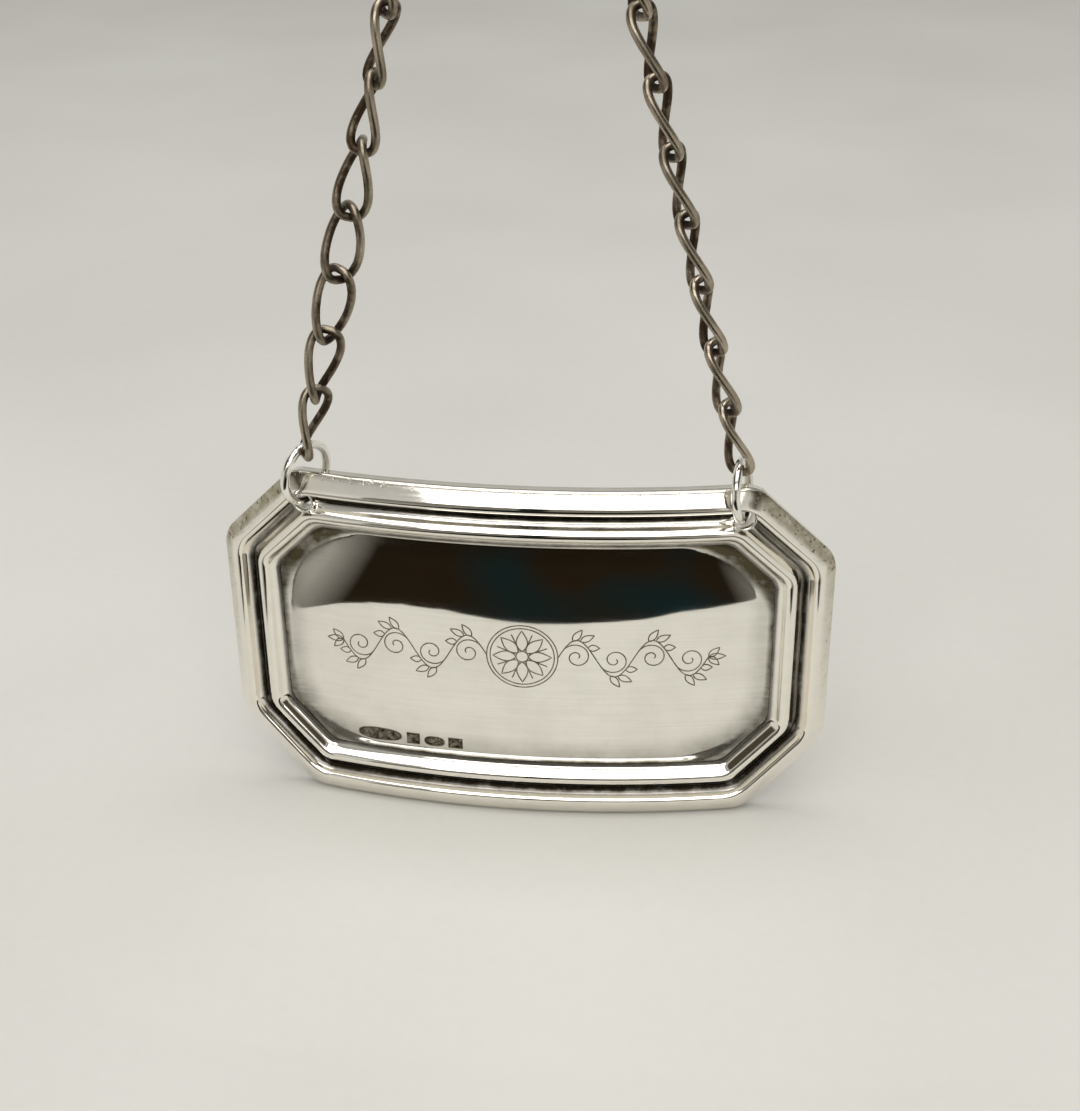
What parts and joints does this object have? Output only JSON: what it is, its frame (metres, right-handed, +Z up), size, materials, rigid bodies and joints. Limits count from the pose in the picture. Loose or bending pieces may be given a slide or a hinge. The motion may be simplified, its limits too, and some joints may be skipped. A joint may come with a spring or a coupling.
{
  "type": "wine label on chain",
  "caption": "Curved silver bottle label with cut corners and a reeded border, hung by jump rings from a loop of twisted curb chain that goes over a bottle's neck.",
  "frame": {"origin": "underside of the topmost link, in the middle of its length, where the chain is hung up", "axes": "+Z up along the hanging chain, -Y out of the label's face, +X to the right as seen from the front"},
  "size_m": [0.0494, 0.0055, 0.079],
  "materials": {
    "label_silver": "polished silver, tarnished dark in the grooves",
    "bright_silver": "bright polished silver",
    "chain_silver": "worn, brown-grey tarnished silver"
  },
  "bodies": {
    "top_link": {"arch_link_2": "chain_silver"},
    "left_arch_link": {"arch_link_1": "chain_silver"},
    "left_link_9": {"left_link_9": "chain_silver"},
    "left_link_8": {"left_link_8": "chain_silver"},
    "left_link_7": {"left_link_7": "chain_silver"},
    "left_link_6": {"left_link_6": "chain_silver"},
    "left_link_5": {"left_link_5": "chain_silver"},
    "left_link_4": {"left_link_4": "chain_silver"},
    "left_link_3": {"left_link_3": "chain_silver"},
    "left_link_2": {"left_link_2": "chain_silver"},
    "left_link_1": {"left_link_1": "chain_silver"},
    "label": {"face_plate": "label_silver", "outer_border": "label_silver", "inner_border": "label_silver", "left_eyelet": "bright_silver", "right_eyelet": "bright_silver"},
    "right_arch_link": {"arch_link_3": "chain_silver"},
    "right_link_9": {"right_link_9": "chain_silver"},
    "right_link_8": {"right_link_8": "chain_silver"},
    "right_link_7": {"right_link_7": "chain_silver"},
    "right_link_6": {"right_link_6": "chain_silver"},
    "right_link_5": {"right_link_5": "chain_silver"},
    "right_link_4": {"right_link_4": "chain_silver"},
    "right_link_3": {"right_link_3": "chain_silver"},
    "right_link_2": {"right_link_2": "chain_silver"},
    "right_link_1": {"right_link_1": "chain_silver"},
    "left_ring": {"left_ring": "bright_silver"},
    "right_ring": {"right_ring": "bright_silver"}
  },
  "joints": [
    {"name": "left_arch_swing", "type": "hinge", "parent": "top_link", "child": "left_arch_link", "pos_m": [-0.00248, 0, 0.00034], "axis": [1, 0, 0], "range_deg": [-18, 18]},
    {"name": "left_link_9_swing", "type": "hinge", "parent": "left_arch_link", "child": "left_link_9", "pos_m": [-0.00636, 0, -0.00272], "axis": [-1, 0, 0], "range_deg": [-20, 20]},
    {"name": "left_link_8_swing", "type": "hinge", "parent": "left_link_9", "child": "left_link_8", "pos_m": [-0.00752, 0, -0.00753], "axis": [1, 0, 0], "range_deg": [-28, 28]},
    {"name": "left_link_7_swing", "type": "hinge", "parent": "left_link_8", "child": "left_link_7", "pos_m": [-0.00869, 0, -0.01235], "axis": [-1, 0, 0], "range_deg": [-28, 28]},
    {"name": "left_link_6_swing", "type": "hinge", "parent": "left_link_7", "child": "left_link_6", "pos_m": [-0.00985, 0, -0.01716], "axis": [1, 0, 0], "range_deg": [-28, 25]},
    {"name": "left_link_5_swing", "type": "hinge", "parent": "left_link_6", "child": "left_link_5", "pos_m": [-0.01101, 0, -0.02197], "axis": [-1, 0, 0], "range_deg": [-22, 28]},
    {"name": "left_link_4_swing", "type": "hinge", "parent": "left_link_5", "child": "left_link_4", "pos_m": [-0.01217, 0, -0.02678], "axis": [1, 0, 0], "range_deg": [-28, 23]},
    {"name": "left_link_3_swing", "type": "hinge", "parent": "left_link_4", "child": "left_link_3", "pos_m": [-0.01333, 0, -0.03159], "axis": [-1, 0, 0], "range_deg": [-24, 28]},
    {"name": "left_link_2_swing", "type": "hinge", "parent": "left_link_3", "child": "left_link_2", "pos_m": [-0.01449, 0, -0.0364], "axis": [1, 0, 0], "range_deg": [-28, 22]},
    {"name": "left_link_1_swing", "type": "hinge", "parent": "left_link_2", "child": "left_link_1", "pos_m": [-0.01565, 0, -0.04122], "axis": [-1, 0, 0], "range_deg": [-23, 28]},
    {"name": "label_swing", "type": "hinge", "parent": "left_link_1", "child": "label", "pos_m": [-0.01682, 0, -0.04606], "axis": [1, 0, 0], "range_deg": [-16, 27]},
    {"name": "right_arch_swing", "type": "hinge", "parent": "top_link", "child": "right_arch_link", "pos_m": [0.00248, 0, 0.00034], "axis": [1, 0, 0], "range_deg": [-18, 18]},
    {"name": "right_link_9_swing", "type": "hinge", "parent": "right_arch_link", "child": "right_link_9", "pos_m": [0.00636, 0, -0.00272], "axis": [-1, 0, 0], "range_deg": [-20, 20]},
    {"name": "right_link_8_swing", "type": "hinge", "parent": "right_link_9", "child": "right_link_8", "pos_m": [0.00752, 0, -0.00753], "axis": [1, 0, 0], "range_deg": [-28, 28]},
    {"name": "right_link_7_swing", "type": "hinge", "parent": "right_link_8", "child": "right_link_7", "pos_m": [0.00869, 0, -0.01235], "axis": [-1, 0, 0], "range_deg": [-28, 28]},
    {"name": "right_link_6_swing", "type": "hinge", "parent": "right_link_7", "child": "right_link_6", "pos_m": [0.00985, 0, -0.01716], "axis": [1, 0, 0], "range_deg": [-28, 25]},
    {"name": "right_link_5_swing", "type": "hinge", "parent": "right_link_6", "child": "right_link_5", "pos_m": [0.01101, 0, -0.02197], "axis": [-1, 0, 0], "range_deg": [-22, 28]},
    {"name": "right_link_4_swing", "type": "hinge", "parent": "right_link_5", "child": "right_link_4", "pos_m": [0.01217, 0, -0.02678], "axis": [1, 0, 0], "range_deg": [-28, 23]},
    {"name": "right_link_3_swing", "type": "hinge", "parent": "right_link_4", "child": "right_link_3", "pos_m": [0.01333, 0, -0.03159], "axis": [-1, 0, 0], "range_deg": [-24, 28]},
    {"name": "right_link_2_swing", "type": "hinge", "parent": "right_link_3", "child": "right_link_2", "pos_m": [0.01449, 0, -0.0364], "axis": [1, 0, 0], "range_deg": [-28, 22]},
    {"name": "right_link_1_swing", "type": "hinge", "parent": "right_link_2", "child": "right_link_1", "pos_m": [0.01565, 0, -0.04122], "axis": [-1, 0, 0], "range_deg": [-23, 28]},
    {"name": "left_ring_spin", "type": "hinge", "parent": "label", "child": "left_ring", "pos_m": [-0.01702, 0, -0.04795], "axis": [0.8539, -0.515, -0.0747], "continuous": true},
    {"name": "right_ring_spin", "type": "hinge", "parent": "label", "child": "right_ring", "pos_m": [0.01702, 0, -0.04795], "axis": [0.9779, -0.1908, 0.0856], "continuous": true}
  ],
  "couplings": [
    {"joint": "right_arch_swing", "follows": "left_arch_swing", "ratio": 1},
    {"joint": "right_link_9_swing", "follows": "left_link_9_swing", "ratio": 1},
    {"joint": "right_link_8_swing", "follows": "left_link_8_swing", "ratio": 1},
    {"joint": "right_link_7_swing", "follows": "left_link_7_swing", "ratio": 1},
    {"joint": "right_link_6_swing", "follows": "left_link_6_swing", "ratio": 1},
    {"joint": "right_link_5_swing", "follows": "left_link_5_swing", "ratio": 1},
    {"joint": "right_link_4_swing", "follows": "left_link_4_swing", "ratio": 1},
    {"joint": "right_link_3_swing", "follows": "left_link_3_swing", "ratio": 1},
    {"joint": "right_link_2_swing", "follows": "left_link_2_swing", "ratio": 1},
    {"joint": "right_link_1_swing", "follows": "left_link_1_swing", "ratio": 1}
  ]
}
